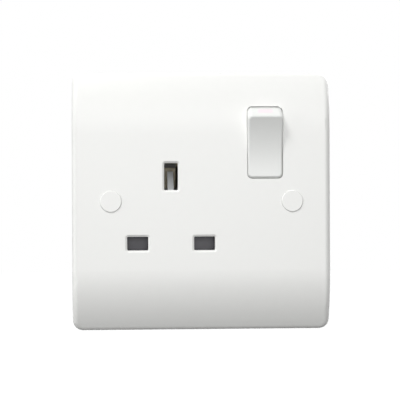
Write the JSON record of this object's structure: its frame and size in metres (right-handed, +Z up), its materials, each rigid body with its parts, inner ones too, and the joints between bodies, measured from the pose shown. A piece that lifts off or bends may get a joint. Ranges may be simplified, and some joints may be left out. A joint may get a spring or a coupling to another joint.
{
  "type": "switched socket outlet",
  "caption": "Single square wall socket outlet for flat three-pin plugs, with a rocker switch, shuttered pin slots, fixing-screw caps and the contacts and terminals behind the plate.",
  "frame": {"origin": "centre of the plate's back, in the plane of the wall, midway between the two fixing holes", "axes": "+X to the right and +Z up seen from the front; the front faces -Y and +Y points into the wall"},
  "size_m": [0.086, 0.0293, 0.086],
  "materials": {
    "white_moulding": "smooth moulded urea, soft gloss",
    "rocker_moulding": "smooth moulded, soft gloss",
    "base_moulding": "matt moulded thermoset",
    "shutter_moulding": "matt moulded",
    "plunger_moulding": "natural acetal",
    "contact_brass": "rolled strip",
    "terminal_brass": "extruded and drilled",
    "contact_tip": "silver alloy",
    "screw_steel": "zinc plated",
    "spring_steel": "drawn wire",
    "cam_moulding": "smooth moulded acetal"
  },
  "bodies": {
    "socket": {"front_plate": "white_moulding", "base": "base_moulding", "screw_cap_left": "white_moulding", "screw_cap_right": "white_moulding", "live_contact": "contact_brass", "neutral_contact": "contact_brass", "earth_contact": "contact_brass", "line_strip": "contact_brass", "fixed_contact_tip": "contact_tip", "earth_terminal": "terminal_brass", "neutral_terminal": "terminal_brass", "line_terminal": "terminal_brass", "terminal_screws": "screw_steel", "base_screws": "screw_steel", "shutter_spring": "spring_steel"},
    "rocker_body": {"rocker": "rocker_moulding", "rocker_spring": "spring_steel"},
    "plunger_body": {"rocker_plunger": "plunger_moulding"},
    "moving_contact_body": {"moving_contact": "contact_brass", "moving_contact_tip": "contact_tip"},
    "shutter_body": {"shutter": "shutter_moulding", "shutter_cam": "cam_moulding"}
  },
  "joints": [
    {"name": "rocker_tilt", "type": "hinge", "parent": "socket", "child": "rocker_body", "pos_m": [0.0211, -0.0035, 0.0193], "axis": [1, 0, 0], "range_deg": [-20, 0]},
    {"name": "plunger_slide", "type": "slide", "parent": "rocker_body", "child": "plunger_body", "axis": [0, -0.9848, -0.1736], "range_m": [0, 0.0008], "stiffness_N_per_m": 800, "springref_m": -0.002, "deforming": ["rocker_spring"]},
    {"name": "moving_contact_tilt", "type": "hinge", "parent": "socket", "child": "moving_contact_body", "pos_m": [0.0211, 0.00581, 0.0193], "axis": [1, 0, 0], "range_deg": [0, 18]},
    {"name": "shutter_slide", "type": "slide", "parent": "socket", "child": "shutter_body", "axis": [0, 0, -1], "range_m": [0, 0.006], "stiffness_N_per_m": 100, "springref_m": -0.008, "deforming": ["shutter_spring"]}
  ],
  "couplings": [
    {"joint": "moving_contact_tilt", "follows": "rocker_tilt", "ratio": -0.9}
  ]
}
